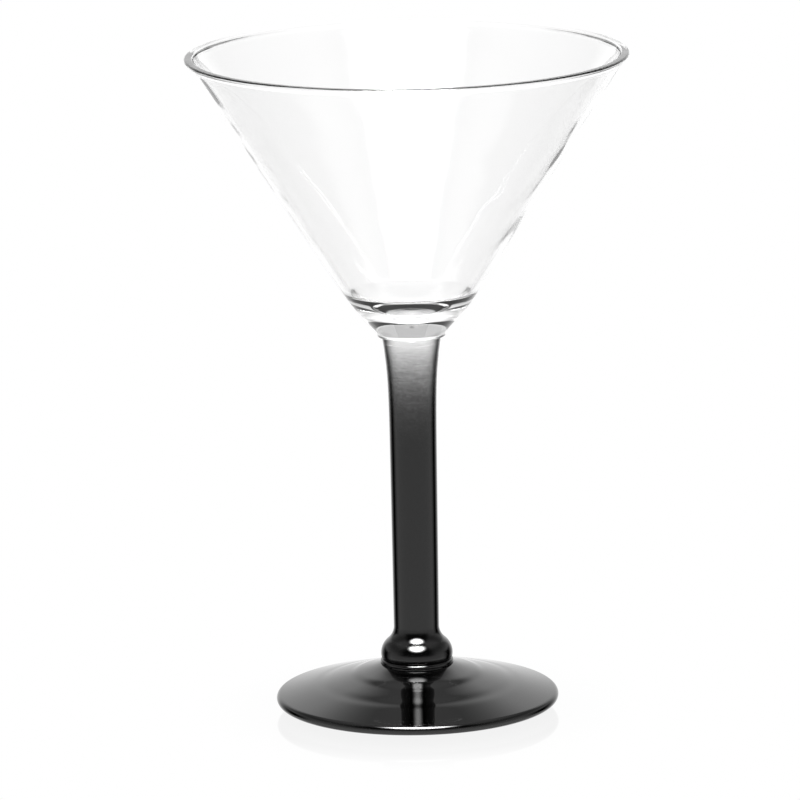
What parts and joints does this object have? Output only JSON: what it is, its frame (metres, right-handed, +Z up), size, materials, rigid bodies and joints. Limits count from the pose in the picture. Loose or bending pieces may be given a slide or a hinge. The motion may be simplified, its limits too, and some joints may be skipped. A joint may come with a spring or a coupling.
{
  "type": "martini glass",
  "caption": "Stemmed cocktail glass with a wide conical clear bowl, a slender dark-lacquered stem, a rounded knop and a low round conical foot.",
  "frame": {"origin": "centre of the ring that the foot stands on, at the table surface", "axes": "+Z up along the axis of the stem and bowl, +X and +Y anywhere around it, because the glass is turned"},
  "size_m": [0.111, 0.111, 0.1664],
  "materials": {
    "clear_glass": "polished clear glass",
    "black_lacquered_glass": "glass sprayed with glossy translucent black lacquer, fading out to clear glass at the top of the stem"
  },
  "bodies": {
    "root": {"bowl": "clear_glass", "stem": "black_lacquered_glass", "knop": "black_lacquered_glass", "foot": "black_lacquered_glass"}
  },
  "joints": []
}
